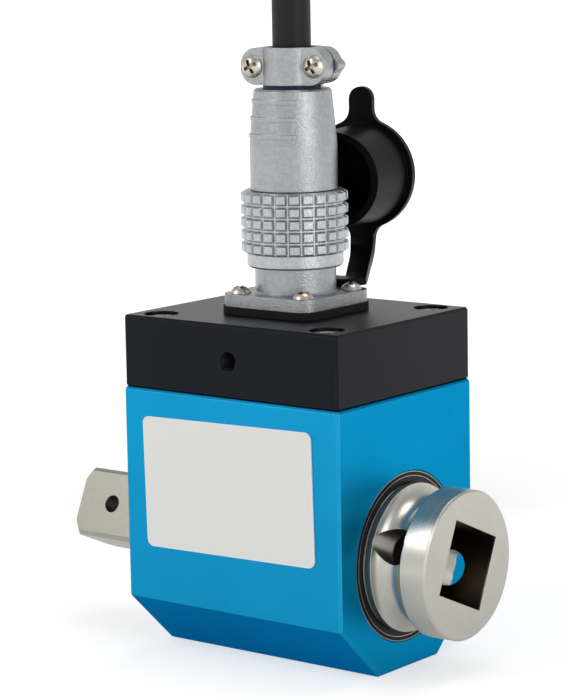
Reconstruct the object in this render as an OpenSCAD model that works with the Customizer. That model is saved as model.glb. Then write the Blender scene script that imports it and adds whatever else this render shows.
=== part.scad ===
// Rotary torque sensor: a square block with a torsion shaft through it, male square drive
// at one end and female square drive at the other, and a knurled connector on top.
// The origin is the centre of the base. +X runs along the shaft to the female end,
// -Y is the labelled front and +Z is up.

/* [Housing] */
// Length of the housing along the shaft
body_l = 70; // [68:1:86]
// Width of the housing from front to back
body_w = 58; // [56:1:70]
// Height of the blue lower housing
body_h = 71; // [69:1:84]
// Height of the black top cover
cover_h = 19; // [17:1:26]
// Width of the big bevel along each side of the foot
foot_bevel_w = 16; // [6:1:17]
// Height of the big bevel along each side of the foot
foot_bevel_h = 15; // [6:1:16]
// Small bevel on the outer edges
edge = 0.6; // [0.2:0.1:1.2]
// How far the cover stands back from the housing all round
cover_inset = 0.25; // [0.1:0.05:0.6]
// Height of the shaft axis above the base
shaft_z = 29; // [28:1:32]
// Bevel at the mouth of the shaft bore
bore_bevel = 0.4; // [0.2:0.1:0.6]

/* [Electronics space] */
// Wall between each end face and the pocket
end_wall = 14; // [12.5:0.5:16]
// Wall between the front or back face and the pocket in the housing
side_wall = 12; // [11.5:0.5:14]
// Wall left between the bore and the floor of the pocket
bore_roof = 3; // [2:0.5:5]
// Wall between the front face and the cover's pocket, for the tapped hole
front_wall = 12; // [10:1:14]
// Wall at the back of the cover's pocket
rear_wall = 7; // [5:1:9]
// Thickness of the cover's top plate
cover_top = 6; // [5:0.5:7]

/* [Cover screws] */
// Distance of the cover screws from the end faces
cover_screw_in = 8; // [7.5:0.5:8.5]
// Distance of the cover screws from the front and back faces
cover_screw_side = 6.5; // [6:0.5:7]
// Thread diameter of the cover screws
cover_screw_d = 5; // [4:0.5:5]
// Head diameter of the cover screws
cover_head_d = 8.5; // [7:0.5:8.5]
// Head height of the cover screws
cover_head_h = 5; // [4:0.5:5]
// Width across flats of the hex socket in the cover screws
cover_hex = 4; // [3:0.5:4]
// Depth of a cover screw's head below the top of the cover
cover_head_sink = 0.8; // [0.2:0.2:1.6]
// Length of the cover screws under the head
cover_screw_l = 22; // [20:1:24]
// Radial clearance round the head in its counterbore
head_gap = 0.35; // [0.2:0.05:0.5]

/* [Front face] */
// Diameter of the tapped hole in the cover's front wall
side_hole_d = 5; // [3:0.5:6]
// Depth of the tapped hole
side_hole_l = 8; // [5:1:9]
// Height of the tapped hole above the bottom of the cover
side_hole_z = 9.5; // [8:0.5:10]
// Length of the label
label_l = 55; // [40:1:60]
// Height of the label
label_h = 34.5; // [24:0.5:40]
// Thickness of the label
label_t = 0.4; // [0.2:0.1:0.8]
// Corner radius of the label
label_r = 2; // [1:0.5:4]
// Distance of the label's middle below the cover
label_down = 23.8; // [21:0.2:27]
// Shift of the label towards the male end
label_shift = 0.6; // [0:0.1:2]
// Turn of the hand-applied label, its male end down
label_turn = 1.2; // [-2:0.1:2]

/* [Shaft] */
// Angle of the two squares about the shaft axis as the sensor was pictured
drive_turn = 23.75; // [0:0.25:45]
// Width across flats of the male square
male_sq = 19; // [17:0.5:19.5]
// Diameter over the rounded corners of the male square
male_round = 25.4; // [24:0.2:26]
// Distance of the male end from the middle of the housing
male_end_x = 70; // [66:1:76]
// Length of the male square
male_l = 24; // [20:1:25]
// Lead-in bevel at the male end
male_lead = 1.6; // [0.5:0.1:2.5]
// Diameter of the cross hole through the male square
male_hole_d = 4.8; // [3:0.2:6]
// Distance of the cross hole from the male end
male_hole_x = 11.3; // [8:0.1:12]
// Diameter of the round shoulder behind the male square
shoulder_d = 28; // [27:0.5:29]
// How far the journal stands out of the housing at the male end
journal_out = 2; // [1.6:0.1:4]
// Shaft diameter at the male end's bearing
journal_a_d = 30; // fixed by the bearing
// Shaft diameter at the female end's bearing
journal_b_d = 35; // fixed by the bearing
// Diameter of the torsion section
torsion_d = 23; // [18:0.5:26]
// Start of the torsion section
torsion_x0 = -6; // [-7:0.5:-4]
// End of the torsion section
torsion_x1 = 17; // [14:0.5:19]
// Radius of the fillets at the ends of the torsion section
torsion_r = 3; // [1:0.5:3.4]
// Diameter of the flange in front of the housing
flange_d = 38.5; // [37:0.5:40]
// How far the flange stands out of the housing
flange_out = 2; // [1.5:0.1:2.4]
// Diameter of the hub behind the flange that meets the inner ring
hub_d = 37.2; // [36.6:0.1:37.4]
// Length of the hub behind the flange
hub_l = 0.8; // [0.5:0.1:1.2]
// Smallest diameter of the coved neck
neck_d = 31; // [30:0.5:34]
// Length of the coved neck
neck_l = 9; // [8:0.5:11]
// Diameter of the female head
head_d = 38.5; // [37:0.5:42]
// Length of the female head's rim
head_l = 7.5; // [5:0.5:12]
// Bevel on the rims of the head and the flange
rim_bevel = 0.5; // [0.2:0.1:0.6]
// Width across flats of the female square
female_sq = 19.4; // [18:0.2:19.8]
// Depth of the female square
female_l = 25; // [22:0.5:27]
// Diameter of the cross hole through the neck
neck_hole_d = 9.4; // [6:0.2:9.8]

/* [Bearings] */
// Outer diameter of the male end's bearing
bear_a_od = 42; // fixed by the bearing
// Width of the male end's bearing
bear_a_w = 7; // fixed by the bearing
// Ball diameter of the male end's bearing
ball_a_d = 3.5; // [3:0.1:3.5]
// Number of balls in the male end's bearing
ball_a_n = 20; // [14:1:22]
// Outer diameter of the female end's bearing
bear_b_od = 44; // fixed by the bearing
// Width of the female end's bearing
bear_b_w = 5; // fixed by the bearing
// Ball diameter of the female end's bearing
ball_b_d = 2.5; // [2.2:0.1:2.6]
// Number of balls in the female end's bearing
ball_b_n = 26; // [16:1:30]
// How far the bearings lie inside the housing's end faces
bear_in = 0.4; // [0.2:0.1:1]
// Running clearance between a ball and its groove
ball_gap = 0.05; // [0.02:0.01:0.08]
// Clearance between the cage and the rings
cage_gap = 0.3; // [0.2:0.05:0.4]
// Thickness of a bearing seal
seal_t = 0.4; // [0.3:0.05:0.5]
// How far a seal lies inside its ring
seal_in = 0.2; // [0.1:0.05:0.3]
// Thickness of the shaft circlip
circlip_t = 1.5; // [1:0.1:1.6]
// How far the circlip stands above the journal
circlip_h = 2; // [1.2:0.1:2.4]
// Depth of the circlip groove
circlip_groove = 0.7; // [0.4:0.1:0.9]
// Gap at the open side of the circlip
circlip_open = 7; // [4:0.5:9]

/* [Measuring parts] */
// Air gap between the turning and the fixed core
air_gap = 0.6; // [0.4:0.1:0.8]
// Radial depth of the turning core
rotor_h = 3; // [2.5:0.1:3.1]
// Length of both cores
core_l = 12; // [9:0.5:13]
// Thickness of a core's cheeks
core_cheek = 2.5; // [1.5:0.1:3.5]
// Thickness of a core's back
core_back = 1; // [0.8:0.1:1.2]
// Thickness of the spacer rings
spacer_t = 1.5; // [1:0.1:2]
// Length of the spacer beside the shoulder
spacer_a_l = 2.6; // [2:0.1:4]
// Thickness of a strain gauge
gauge_t = 0.15; // [0.1:0.05:0.3]
// Length of a strain gauge
gauge_l = 9; // [5:0.5:10]
// Width of a strain gauge
gauge_w = 6; // [4:0.5:8]
// Thickness of the round board on the shaft
rotor_board_t = 1.6; // [1:0.1:2]
// Radial width of the round board on the shaft
rotor_board_w = 3; // [2:0.1:3.2]
// Distance from the turning core to the round board
rotor_board_in = 1.2; // [1:0.1:1.4]

/* [Main board] */
// Thickness of the main board
board_t = 1.6; // [1:0.1:2]
// Height of the pillars under the main board
pillar_h = 5; // [4:0.5:6]
// Diameter of the pillars
pillar_d = 6; // [5:0.5:6.5]
// Distance of the pillars from the pocket's walls
pillar_in = 4; // [3.5:0.25:5]
// Clearance between the main board and the pocket's walls
board_gap = 1; // [0.5:0.1:2]
// Thread diameter of the board screws
board_screw_d = 2.5; // [2:0.1:3]
// Length of the board screws
board_screw_l = 5; // [4:0.5:5.5]
// Diameter of the hole for the coil's leads
lead_hole_d = 6; // [4:0.5:8]
// Diameter of a coil lead
stator_lead_d = 1.2; // [0.8:0.1:1.6]
// Diameter of a signal lead
signal_lead_d = 0.9; // [0.6:0.1:1.1]

/* [Receptacle] */
// Side of the square flange
recept_sq = 29; // [28:0.5:32]
// Corner radius of the square flange
recept_r = 4.5; // [2:0.5:5]
// Thickness of the square flange
recept_t = 3.2; // [2.4:0.1:4]
// Thickness of the rubber gasket
gasket_t = 2; // [1:0.1:2.6]
// How far the gasket stands out from under the flange
gasket_out = 0.3; // [0:0.1:0.8]
// Outer diameter of the receptacle's barrel
barrel_d = 21.1; // [20.5:0.1:21.4]
// Height of the barrel above the flange
barrel_h = 21.8; // [20:0.2:22.2]
// Wall of the barrel
barrel_wall = 1.7; // [1.4:0.1:1.8]
// Diameter of the part that goes into the cover
recept_rear_d = 18; // [14:0.5:19]
// Length of the part that goes into the cover
recept_rear_l = 8; // [7:0.5:9]
// Distance of the flange screws from the middle, along and across
flange_screw_at = 10.25; // [10:0.25:10.5]
// Thread diameter of the flange screws
flange_screw_d = 3; // [2.5:0.1:3]
// Head diameter of the flange screws
flange_head_d = 5.6; // [5:0.1:5.8]
// Head height of the flange screws
flange_head_h = 1.9; // [1.4:0.1:2.2]
// Length of the flange screws under the head
flange_screw_l = 9; // [7:0.5:10]
// Number of contacts
contact_n = 12; // [6:1:12]
// Diameter of a contact pin
pin_d = 1; // [0.8:0.1:1.2]
// Height of the insert's face above the flange
insert_h = 4; // [3:0.5:6]
// Length of a pin above the insert
pin_l = 8; // [6:0.5:9]

/* [Plug] */
// Diameter over the knurl of the coupling ring
knurl_d = 27.8; // [27:0.1:29]
// Height of the knurled part
knurl_h = 16.2; // [15:0.2:17]
// Rows of knurl pads
knurl_rows = 5; // [3:1:6]
// Pads round the ring
knurl_cols = 24; // [16:1:30]
// Depth of the grooves between the pads
knurl_depth = 0.9; // [0.6:0.1:1.2]
// Width of the lengthwise grooves at the surface
knurl_slot_w = 1.3; // [0.8:0.1:1.8]
// Width of the ring grooves at the surface
knurl_ring_w = 1.3; // [0.8:0.1:1.8]
// Share of a groove's width that is flat at its bottom
groove_share = 0.3; // [0.1:0.05:0.6]
// Diameter of the coupling ring's plain skirt
skirt_d = 25; // [24:0.1:25.4]
// Height of the plain skirt
skirt_h = 3.6; // [2:0.2:5]
// Height of the skirt's lower end above the flange
skirt_lift = 6.8; // [5:0.2:8]
// Running clearance of the coupling ring
ring_gap = 0.05; // [0.02:0.01:0.1]
// Thickness of the coupling ring's inner lip
lip_t = 2.4; // [1.6:0.1:3]
// Diameter of the plug shell above its collar
plug_top_d = 18; // [17:0.2:18.6]
// Thickness of the plug shell's collar
collar_t = 2.2; // [1:0.1:2.2]
// Clearance between the plug shell and the barrel
plug_gap = 0.2; // [0.1:0.05:0.3]
// Wall of the plug shell
plug_wall = 1.3; // [1:0.1:1.5]
// Gap between the coupling ring and its neighbours
ring_end_gap = 0.2; // [0.15:0.05:0.5]

/* [Backshell and cable clamp] */
// Lower diameter of the backshell
shell_d0 = 22.7; // [21.6:0.1:23]
// Upper diameter of the backshell
shell_d1 = 20.2; // [19.2:0.1:21]
// Height of the backshell
shell_h = 25.9; // [22:0.1:30]
// Share of the height that tapers, from the top down
taper_share = 0.55; // [0.3:0.05:0.8]
// Height over which the backshell holds the plug shell
shell_grip = 6; // [4:0.5:8]
// Number of grip ribs on each side of the backshell
grip_n = 3; // [1:1:4]
// Distance between the grip ribs
grip_pitch = 4.4; // [3:0.1:4.6]
// Distance of the first grip rib from the top of the backshell
grip_top = 3.1; // [2:0.1:4]
// Height of a grip rib
grip_h = 1.1; // [0.6:0.05:2]
// How far a grip rib stands out
grip_out = 0.3; // [0.15:0.05:0.6]
// Angle that a grip rib covers
grip_angle = 95; // [60:5:140]
// Turn of the grip ribs towards the male end
grip_turn = 17; // [-20:1:30]
// Turn of the plug about its own axis
plug_turn = 13; // [0:1:40]
// Height of the cable clamp
clamp_h = 9.6; // [7:0.2:12]
// Gap between the backshell and the front saddle
clamp_lift = 1; // [0.6:0.1:2]
// Length of the saddles
saddle_l = 23.6; // [22:0.2:26]
// Depth of the front saddle's lugs
saddle_front = 5.9; // [4:0.1:6.4]
// Depth of the rear saddle's lugs
saddle_rear = 4.6; // [4:0.1:6.4]
// How far the pointed ears of the rear saddle reach past the front one's lugs
ear_out = 1.1; // [0.6:0.1:2]
// Radius of the ears' round tips
ear_r = 1.2; // [0.8:0.1:2]
// Radius of the saddles' arch
arch_r = 8; // [7.6:0.1:8.6]
// Gap between the two saddles
saddle_gap = 0.7; // [0.3:0.1:1]
// Distance of the clamp screws from the middle
clamp_screw_at = 8.6; // [8.4:0.1:9]
// Thread diameter of the clamp screws
clamp_screw_d = 3; // [2:0.1:3]
// Head diameter of the clamp screws
clamp_head_d = 6; // [5:0.1:6.2]
// Head height of the clamp screws
clamp_head_h = 1.7; // [1.2:0.1:2.2]
// Diameter of the grommet below the clamp
grommet_d = 15.2; // [13.6:0.1:15.6]
// Wall of the grommet inside the clamp
grommet_wall = 1.2; // [0.8:0.1:1.4]
// Depth of the grommet in the backshell
grommet_in = 6; // [4:0.5:8]

/* [Dust cap] */
// Diameter of the cap's disc
cap_d = 29.8; // [27:0.2:30.4]
// Thickness of the disc, the tab and the strap
cap_t = 2; // [1.4:0.1:2.6]
// Outer diameter of the cap's mouth
mouth_d = 25.2; // [24:0.2:26]
// Outer diameter of the skirt at the disc
cap_root_d = 27; // [25:0.2:28]
// Wall of the skirt at the mouth
cap_wall = 2; // [1.2:0.1:2.6]
// Length of the cap from the back of the disc to its mouth
cap_l = 20; // [14:0.5:20]
// Width of the tab and the strap
strap_w = 6.7; // [5:0.1:7.4]
// Height of the tab's end above the cap's middle
tab_h = 23.4; // [20:0.2:28]
// Radius of the fillets beside the tab and the strap
tab_fillet = 4; // [2:0.5:6]
// Turn of the cap about the vertical
cap_turn = 13; // [8:1:16]

/* [Cable] */
// Diameter of the cable
cable_d = 10; // [9:0.2:10.2]
// Mean radius of the coil that the spare cable is wound into
coil_r = 50; // [48:1:55]
// Turns of the coil
coil_turns = 5; // [3:0.05:8]
// Distance of the coil's middle behind the connector
coil_back = 178; // [170:1:190]
// Thickness of a cable tie
tie_t = 1.2; // [0.8:0.1:1.6]
// Width of a cable tie
tie_w = 5; // [3:0.5:8]
// Diameter of the sleeve on the cable's end
sleeve_d = 11.4; // [10.6:0.2:12]
// Length of the sleeve on the cable's end
sleeve_l = 14; // [8:1:20]
// Diameter of a lead at the cable's end
lead_d = 1.6; // [1:0.1:2]
// Length of a lead at the cable's end
lead_l = 22; // [15:1:40]
// Number of leads at the cable's end
lead_n = 6; // [3:1:6]
// Diameter of a lead's ferrule
ferrule_d = 1.1; // [0.8:0.1:1.6]
// Length of a lead's ferrule
ferrule_l = 6; // [4:0.5:9]

/* [Hidden] */

// Overrun of every cut beyond the face it opens
cut = 0.5;
// A quarter turn in degrees
quarter = 90;
// Roundness of the curved faces
$fn = 64;

// Cover
cover_z = body_h;
top_z = body_h + cover_h;
cover_pocket_h = cover_h - cover_top;
cover_bore_d = cover_head_d + 2 * head_gap;
cover_screw_x = body_l / 2 - cover_screw_in;
cover_screw_y = body_w / 2 - cover_screw_side;
screw_gap = 0.25;

// Bearings: ring walls and the ball circles
bear_a_x = -(body_l / 2 - bear_in - bear_a_w / 2);
bear_b_x = body_l / 2 - bear_in - bear_b_w / 2;
step_x = bear_a_x + bear_a_w / 2;
pitch_a = (journal_a_d + bear_a_od) / 4;
pitch_b = (journal_b_d + bear_b_od) / 4;
ring_land_a = 1.1;
ring_land_b = 0.95;

// Shaft stations along X, measured from the middle of the housing
male_sq_x1 = -male_end_x + male_l;
hub_x0 = bear_b_x + bear_b_w / 2;
flange_x1 = body_l / 2 + flange_out;
neck_x1 = flange_x1 + neck_l;
head_x1 = neck_x1 + head_l;
journal_b_x0 = torsion_x1 + torsion_r;
journal_a_x1 = torsion_x0 - torsion_r;
male_shoulder_x = -body_l / 2 - journal_out;
circlip_x = bear_a_x - bear_a_w / 2 - circlip_t;
neck_hole_x = (flange_x1 + neck_x1) / 2;
cove_depth = (head_d - neck_d) / 2;
cove_half = neck_l / 2;
cove_r = (cove_half * cove_half + cove_depth * cove_depth) / (2 * cove_depth);

// Measuring parts
rotor_r = journal_a_d / 2 + rotor_h;
stator_r = rotor_r + air_gap;
bore_r = bear_b_od / 2;
core_x0 = step_x + spacer_a_l;
core_x1 = core_x0 + core_l;
core_mid = (core_x0 + core_x1) / 2;
gauge_r = torsion_d / 2;
gauge_x = (torsion_x0 + torsion_x1) / 2;

// Main board
pocket_l = body_l - 2 * end_wall;
pocket_w = body_w - 2 * side_wall;
pocket_z = shaft_z + bore_r + bore_roof;
board_z = pocket_z + pillar_h;
pillar_x = pocket_l / 2 - pillar_in;
pillar_y = pocket_w / 2 - pillar_in;
board_head_d = 4.5;
board_head_h = 1.5;
lead_pair = 2.4;
chip_h = 2;
chip_l = 11;
chip_gap = 1.6;
cap_can_d = 6;
cap_can_h = 7;
crystal_l = 8;
crystal_w = 3.6;

// Receptacle and plug heights
gasket_z = top_z;
flange_z = top_z + gasket_t;
barrel_z = flange_z + recept_t;
barrel_top = barrel_z + barrel_h;
barrel_in_d = barrel_d - 2 * barrel_wall;
insert_z = barrel_z + insert_h;
insert_web = 2;
pin_circle = 5.6;
pin_tail = 3;
recept_hole_gap = 0.4;
skirt_z = barrel_z + skirt_lift;
knurl_z = skirt_z + skirt_h;
ring_top = knurl_z + knurl_h;
ring_lip_z = ring_top - lip_t;
collar_d = barrel_d - 2 * plug_gap;
plug_low_d = barrel_in_d - 2 * plug_gap;
plug_z = insert_z + insert_web;
shell_z = ring_top + ring_end_gap;
shell_top = shell_z + shell_h;
plug_top = shell_z + shell_grip;
plug_insert_d = plug_low_d - 2 * plug_wall;
contact_d = 2 * pin_d;
clamp_z = shell_top + clamp_lift;
clamp_mid = clamp_z + clamp_h / 2;
shell_bore_d = plug_top_d - 2 * plug_wall;
arm_d = 2 * arch_r;
lug_r = 4.3;
cross_w = 0.9;
cross_d = 1.1;
cross_share = 0.62;

// Dust cap: its mouth stands just behind the coupling ring, and its middle is level
// with the top of the ring. The strap hangs from the disc, turns in a bend beside the
// flange and goes round the barrel to an eyelet under the rear left flange screw.
mouth_gap = 0.35;
cap_side = 4.9;
cap_up = 1;
cap_out = knurl_d / 2 + mouth_gap + cap_l;
cap_at = [
  cap_side * cos(cap_turn) - cap_out * sin(cap_turn),
  cap_side * sin(cap_turn) + cap_out * cos(cap_turn),
  ring_top + cap_up
];
strap_end_r = strap_w / 2 + mouth_gap;
strap_gap = 0.7;
strap_bend_r = 4;
strap_z = barrel_z + cap_t / 2;
strap_lay_r = barrel_d / 2 + strap_gap + strap_w / 2;
strap_side = 1.6;
strap_bend = [strap_side, strap_lay_r + strap_bend_r];
strap_foot = [cap_at[0] + cap_t / 2 * sin(cap_turn), cap_at[1] - cap_t / 2 * cos(cap_turn)];

// Cable: the ribbon's and the riser's own points are [side, back, height]
cable_turn = 38;
coil_h = (coil_turns + 1) * cable_d;
route = [
  [0, 0, 143], [0, 0, 158], [0, 0, 173], [0, 0, 188], [0, 3.5, 205.5], [0, 13.5, 220.5],
  [0, 28.5, 230.5], [0, 46, 234], [0, 63.5, 230.5], [0, 78.5, 220.5], [0, 88.5, 205.5],
  [0, 92, 188], [0, 92, 168], [0, 92, 148], [0, 92, 128], [0, 92, 110],
  [-1, 92.5, 93], [-5, 94.5, 76.5], [-13, 99, 60], [-24, 106.5, 45.5], [-34, 117, 33],
  [-42.5, 130.5, 22.5], [-48, 146, 13.5], [-50, 162, 7.5], [-50, 178, 5]
];
tube_sides = 10;
tube_steps = 2;
lead_share = 1.1;
lead_spread = 2;

// A body of revolution about the shaft axis, starting at a place along X
module on_shaft(x) {
  translate([x, 0, shaft_z])
    rotate([0, quarter, 0])
      children();
}

// A plain ring about its own axis
module ring(outer_r, inner_r, length) {
  difference() {
    cylinder(r = outer_r, h = length);
    translate([0, 0, -cut])
      cylinder(r = inner_r, h = length + 2 * cut);
  }
}

// A ring of round section, to cut or add a groove about its own axis
module groove(pitch_r, section_r) {
  rotate_extrude()
    translate([pitch_r, 0])
      circle(r = section_r);
}

// A flat plate with round corners, standing on z = 0
module round_plate(length, width, corner, height) {
  linear_extrude(height = height)
    union() {
      square([length - 2 * corner, width], center = true);
      square([length, width - 2 * corner], center = true);
      for (sx = [-1, 1], sy = [-1, 1])
        translate([sx * (length / 2 - corner), sy * (width / 2 - corner)])
          circle(r = corner);
    }
}

// One copy at each of the four corners
module at_corners(x, y) {
  for (sx = [-1, 1], sy = [-1, 1])
    translate([sx * x, sy * y, 0])
      children();
}

// A pan head with a cross recess, its underside at z = 0, and the thread below it
module pan_screw(head_d_, head_h_, thread_d, length) {
  dome_r = (head_d_ * head_d_ / 4 + head_h_ * head_h_) / (2 * head_h_);
  difference() {
    union() {
      intersection() {
        cylinder(d = head_d_, h = head_h_);
        translate([0, 0, head_h_ - dome_r])
          sphere(r = dome_r);
      }
      translate([0, 0, -length])
        cylinder(d = thread_d, h = length + head_h_ / 2);
    }
    for (turn = [0, quarter])
      rotate([0, 0, turn])
        translate([-head_d_ * cross_share / 2, -cross_w / 2, head_h_ - cross_d])
          cube([head_d_ * cross_share, cross_w, cross_d + cut]);
  }
}

// The end view of the housing, with its foot bevels and small top bevels
module housing_profile(inset) {
  half = body_w / 2;
  offset(delta = -inset)
    polygon([
      [-half + foot_bevel_w, 0], [half - foot_bevel_w, 0], [half, foot_bevel_h],
      [half, body_h - edge], [half - edge, body_h], [-half + edge, body_h],
      [-half, body_h - edge], [-half, foot_bevel_h]
    ]);
}

module profile_bar(inset, length) {
  rotate([quarter, 0, quarter])
    translate([0, 0, -length / 2])
      linear_extrude(height = length)
        housing_profile(inset);
}

module housing() {
  color("#1187b8")
    difference() {
      hull() {
        profile_bar(0, body_l - 2 * edge);
        profile_bar(edge, body_l);
      }
      on_shaft(step_x)
        cylinder(d = bear_b_od, h = body_l);
      on_shaft(-body_l)
        cylinder(d = bear_a_od, h = body_l + step_x + cut);
      on_shaft(body_l / 2 - bore_bevel)
        cylinder(d1 = bear_b_od, d2 = bear_b_od + 4 * bore_bevel, h = 2 * bore_bevel);
      on_shaft(-body_l / 2 - bore_bevel)
        cylinder(d1 = bear_a_od + 4 * bore_bevel, d2 = bear_a_od, h = 2 * bore_bevel);
      difference() {
        translate([-pocket_l / 2, -pocket_w / 2, pocket_z])
          cube([pocket_l, pocket_w, body_h - pocket_z + cut]);
        at_corners(pillar_x, pillar_y)
          cylinder(d = pillar_d, h = board_z);
      }
      at_corners(pillar_x, pillar_y)
        translate([0, 0, board_z + board_t - board_screw_l - cut])
          cylinder(d = board_screw_d, h = board_screw_l + cut);
      translate([core_mid, 0, shaft_z])
        cylinder(d = lead_hole_d, h = body_h - shaft_z);
      at_corners(cover_screw_x, cover_screw_y)
        translate([0, 0, top_z - cover_head_sink - cover_head_h - cover_screw_l - cut])
          cylinder(d = cover_screw_d, h = body_h);
    }
}

module top_cover() {
  length = body_l - 2 * cover_inset;
  width = body_w - 2 * cover_inset;
  color("#26272b")
    difference() {
      hull() {
        translate([-length / 2, -width / 2 + edge, cover_z + edge])
          cube([length, width - 2 * edge, cover_h - 2 * edge]);
        translate([-length / 2 + edge, -width / 2, cover_z + edge])
          cube([length - 2 * edge, width, cover_h - 2 * edge]);
        translate([-length / 2 + edge, -width / 2 + edge, cover_z])
          cube([length - 2 * edge, width - 2 * edge, cover_h]);
      }
      translate([-pocket_l / 2, -body_w / 2 + front_wall, cover_z - cut])
        cube([pocket_l, body_w - front_wall - rear_wall, cover_pocket_h + cut]);
      translate([0, 0, cover_z + cut])
        cylinder(d = recept_rear_d + 2 * recept_hole_gap, h = cover_h);
      at_corners(cover_screw_x, cover_screw_y) {
        translate([0, 0, cover_z - cut])
          cylinder(d = cover_screw_d + 2 * screw_gap, h = cover_h);
        translate([0, 0, top_z - cover_head_sink - cover_head_h])
          cylinder(d = cover_bore_d, h = cover_h);
      }
      at_corners(flange_screw_at, flange_screw_at)
        translate([0, 0, barrel_z - flange_screw_l - cut])
          cylinder(d = flange_screw_d, h = cover_h);
      translate([0, -body_w / 2 + side_hole_l, cover_z + side_hole_z])
        rotate([quarter, 0, 0])
          cylinder(d = side_hole_d, h = body_w);
    }
}

module cover_screws() {
  color("#b9b6a6")
    at_corners(cover_screw_x, cover_screw_y)
      translate([0, 0, top_z - cover_head_sink - cover_head_h])
        difference() {
          union() {
            cylinder(d = cover_head_d, h = cover_head_h - edge / 2);
            translate([0, 0, cover_head_h - edge / 2])
              cylinder(d1 = cover_head_d, d2 = cover_head_d - edge, h = edge / 2);
            translate([0, 0, -cover_screw_l])
              cylinder(d = cover_screw_d, h = cover_screw_l + edge);
          }
          translate([0, 0, cover_head_h / 2])
            cylinder(d = cover_hex / cos(30), h = cover_head_h, $fn = 6);
        }
}

module label() {
  color("#f1efe9")
    translate([-label_shift, -body_w / 2, body_h - label_down])
      rotate([quarter, -label_turn, 0])
        round_plate(label_l, label_h, label_r, label_t);
}

// Bearing rings lie about X, centred on the bearing's middle
module bearing_outer(od, pitch_r, ball, land, width) {
  translate([0, 0, -width / 2])
    difference() {
      ring(od / 2, pitch_r + land, width);
      translate([0, 0, width / 2])
        groove(pitch_r, ball / 2 + ball_gap);
    }
}

module bearing_inner(id, pitch_r, ball, land, width) {
  translate([0, 0, -width / 2])
    difference() {
      ring(pitch_r - land, id / 2, width);
      translate([0, 0, width / 2])
        groove(pitch_r, ball / 2 + ball_gap);
    }
}

module bearing_balls(pitch_r, ball, count) {
  for (i = [0 : count - 1])
    rotate([0, 0, i * 360 / count])
      translate([pitch_r, 0, 0])
        sphere(d = ball);
}

module bearing_cage(pitch_r, ball, count, land, width) {
  half = width / 2 - seal_in - seal_t - cage_gap;
  difference() {
    translate([0, 0, -half])
      ring(pitch_r + land - cage_gap, pitch_r - land + cage_gap, 2 * half);
    for (i = [0 : count - 1])
      rotate([0, 0, i * 360 / count])
        translate([pitch_r - land, 0, 0])
          rotate([0, quarter, 0])
            cylinder(d = ball + 2 * ball_gap, h = 2 * land);
  }
}

module bearing_seals(pitch_r, land, width) {
  for (side = [0, 1])
    mirror([0, 0, side])
      translate([0, 0, width / 2 - seal_in - seal_t])
        ring(pitch_r + land, pitch_r - land + cage_gap, seal_t);
}

module bearing_a_outer() {
  color("#c9ccce")
    on_shaft(bear_a_x)
      bearing_outer(bear_a_od, pitch_a, ball_a_d, ring_land_a, bear_a_w);
}

module bearing_a_inner() {
  color("#c9ccce")
    on_shaft(bear_a_x)
      bearing_inner(journal_a_d, pitch_a, ball_a_d, ring_land_a, bear_a_w);
}

module bearing_a_balls() {
  color("#dfe2e4")
    on_shaft(bear_a_x)
      bearing_balls(pitch_a, ball_a_d, ball_a_n);
}

module bearing_a_cage() {
  color("#b08a3e")
    on_shaft(bear_a_x)
      bearing_cage(pitch_a, ball_a_d, ball_a_n, ring_land_a, bear_a_w);
}

module bearing_a_seals() {
  color("#2a2422")
    on_shaft(bear_a_x)
      bearing_seals(pitch_a, ring_land_a, bear_a_w);
}

module bearing_b_outer() {
  color("#c9ccce")
    on_shaft(bear_b_x)
      bearing_outer(bear_b_od, pitch_b, ball_b_d, ring_land_b, bear_b_w);
}

module bearing_b_inner() {
  color("#c9ccce")
    on_shaft(bear_b_x)
      bearing_inner(journal_b_d, pitch_b, ball_b_d, ring_land_b, bear_b_w);
}

module bearing_b_balls() {
  color("#dfe2e4")
    on_shaft(bear_b_x)
      bearing_balls(pitch_b, ball_b_d, ball_b_n);
}

module bearing_b_cage() {
  color("#b08a3e")
    on_shaft(bear_b_x)
      bearing_cage(pitch_b, ball_b_d, ball_b_n, ring_land_b, bear_b_w);
}

module bearing_b_seals() {
  color("#2a2422")
    on_shaft(bear_b_x)
      bearing_seals(pitch_b, ring_land_b, bear_b_w);
}

// A cylinder about the shaft axis between two stations
module shaft_bar(x0, x1, d) {
  on_shaft(x0)
    cylinder(d = d, h = x1 - x0);
}

// A square bar about the shaft axis at the drive's angle
module drive_bar(x0, x1, side) {
  translate([x0, 0, shaft_z])
    rotate([-drive_turn, 0, 0])
      translate([0, -side / 2, -side / 2])
        cube([x1 - x0, side, side]);
}

// A round hole across the shaft, square to a flat of the drive
module cross_hole(x, d, reach) {
  translate([x, 0, shaft_z])
    rotate([-drive_turn, 0, 0])
      rotate([quarter, 0, 0])
        translate([0, 0, -reach])
          cylinder(d = d, h = 2 * reach);
}

// The male square: a cube turned round at its corners and bevelled at its end
module male_drive() {
  intersection() {
    drive_bar(-male_end_x, male_sq_x1 + rim_bevel, male_sq);
    union() {
      on_shaft(-male_end_x)
        cylinder(d1 = male_round - 2 * male_lead, d2 = male_round, h = male_lead);
      shaft_bar(-male_end_x + male_lead, male_sq_x1 + rim_bevel, male_round);
    }
  }
}

// The torsion section with a round fillet at each end
module torsion_section() {
  difference() {
    shaft_bar(journal_a_x1, journal_b_x0, torsion_d + 2 * torsion_r);
    on_shaft(torsion_x0)
      ring(journal_b_d, torsion_d / 2, torsion_x1 - torsion_x0);
    on_shaft(torsion_x0)
      groove(torsion_d / 2 + torsion_r, torsion_r);
    on_shaft(torsion_x1)
      groove(torsion_d / 2 + torsion_r, torsion_r);
  }
}

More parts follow.
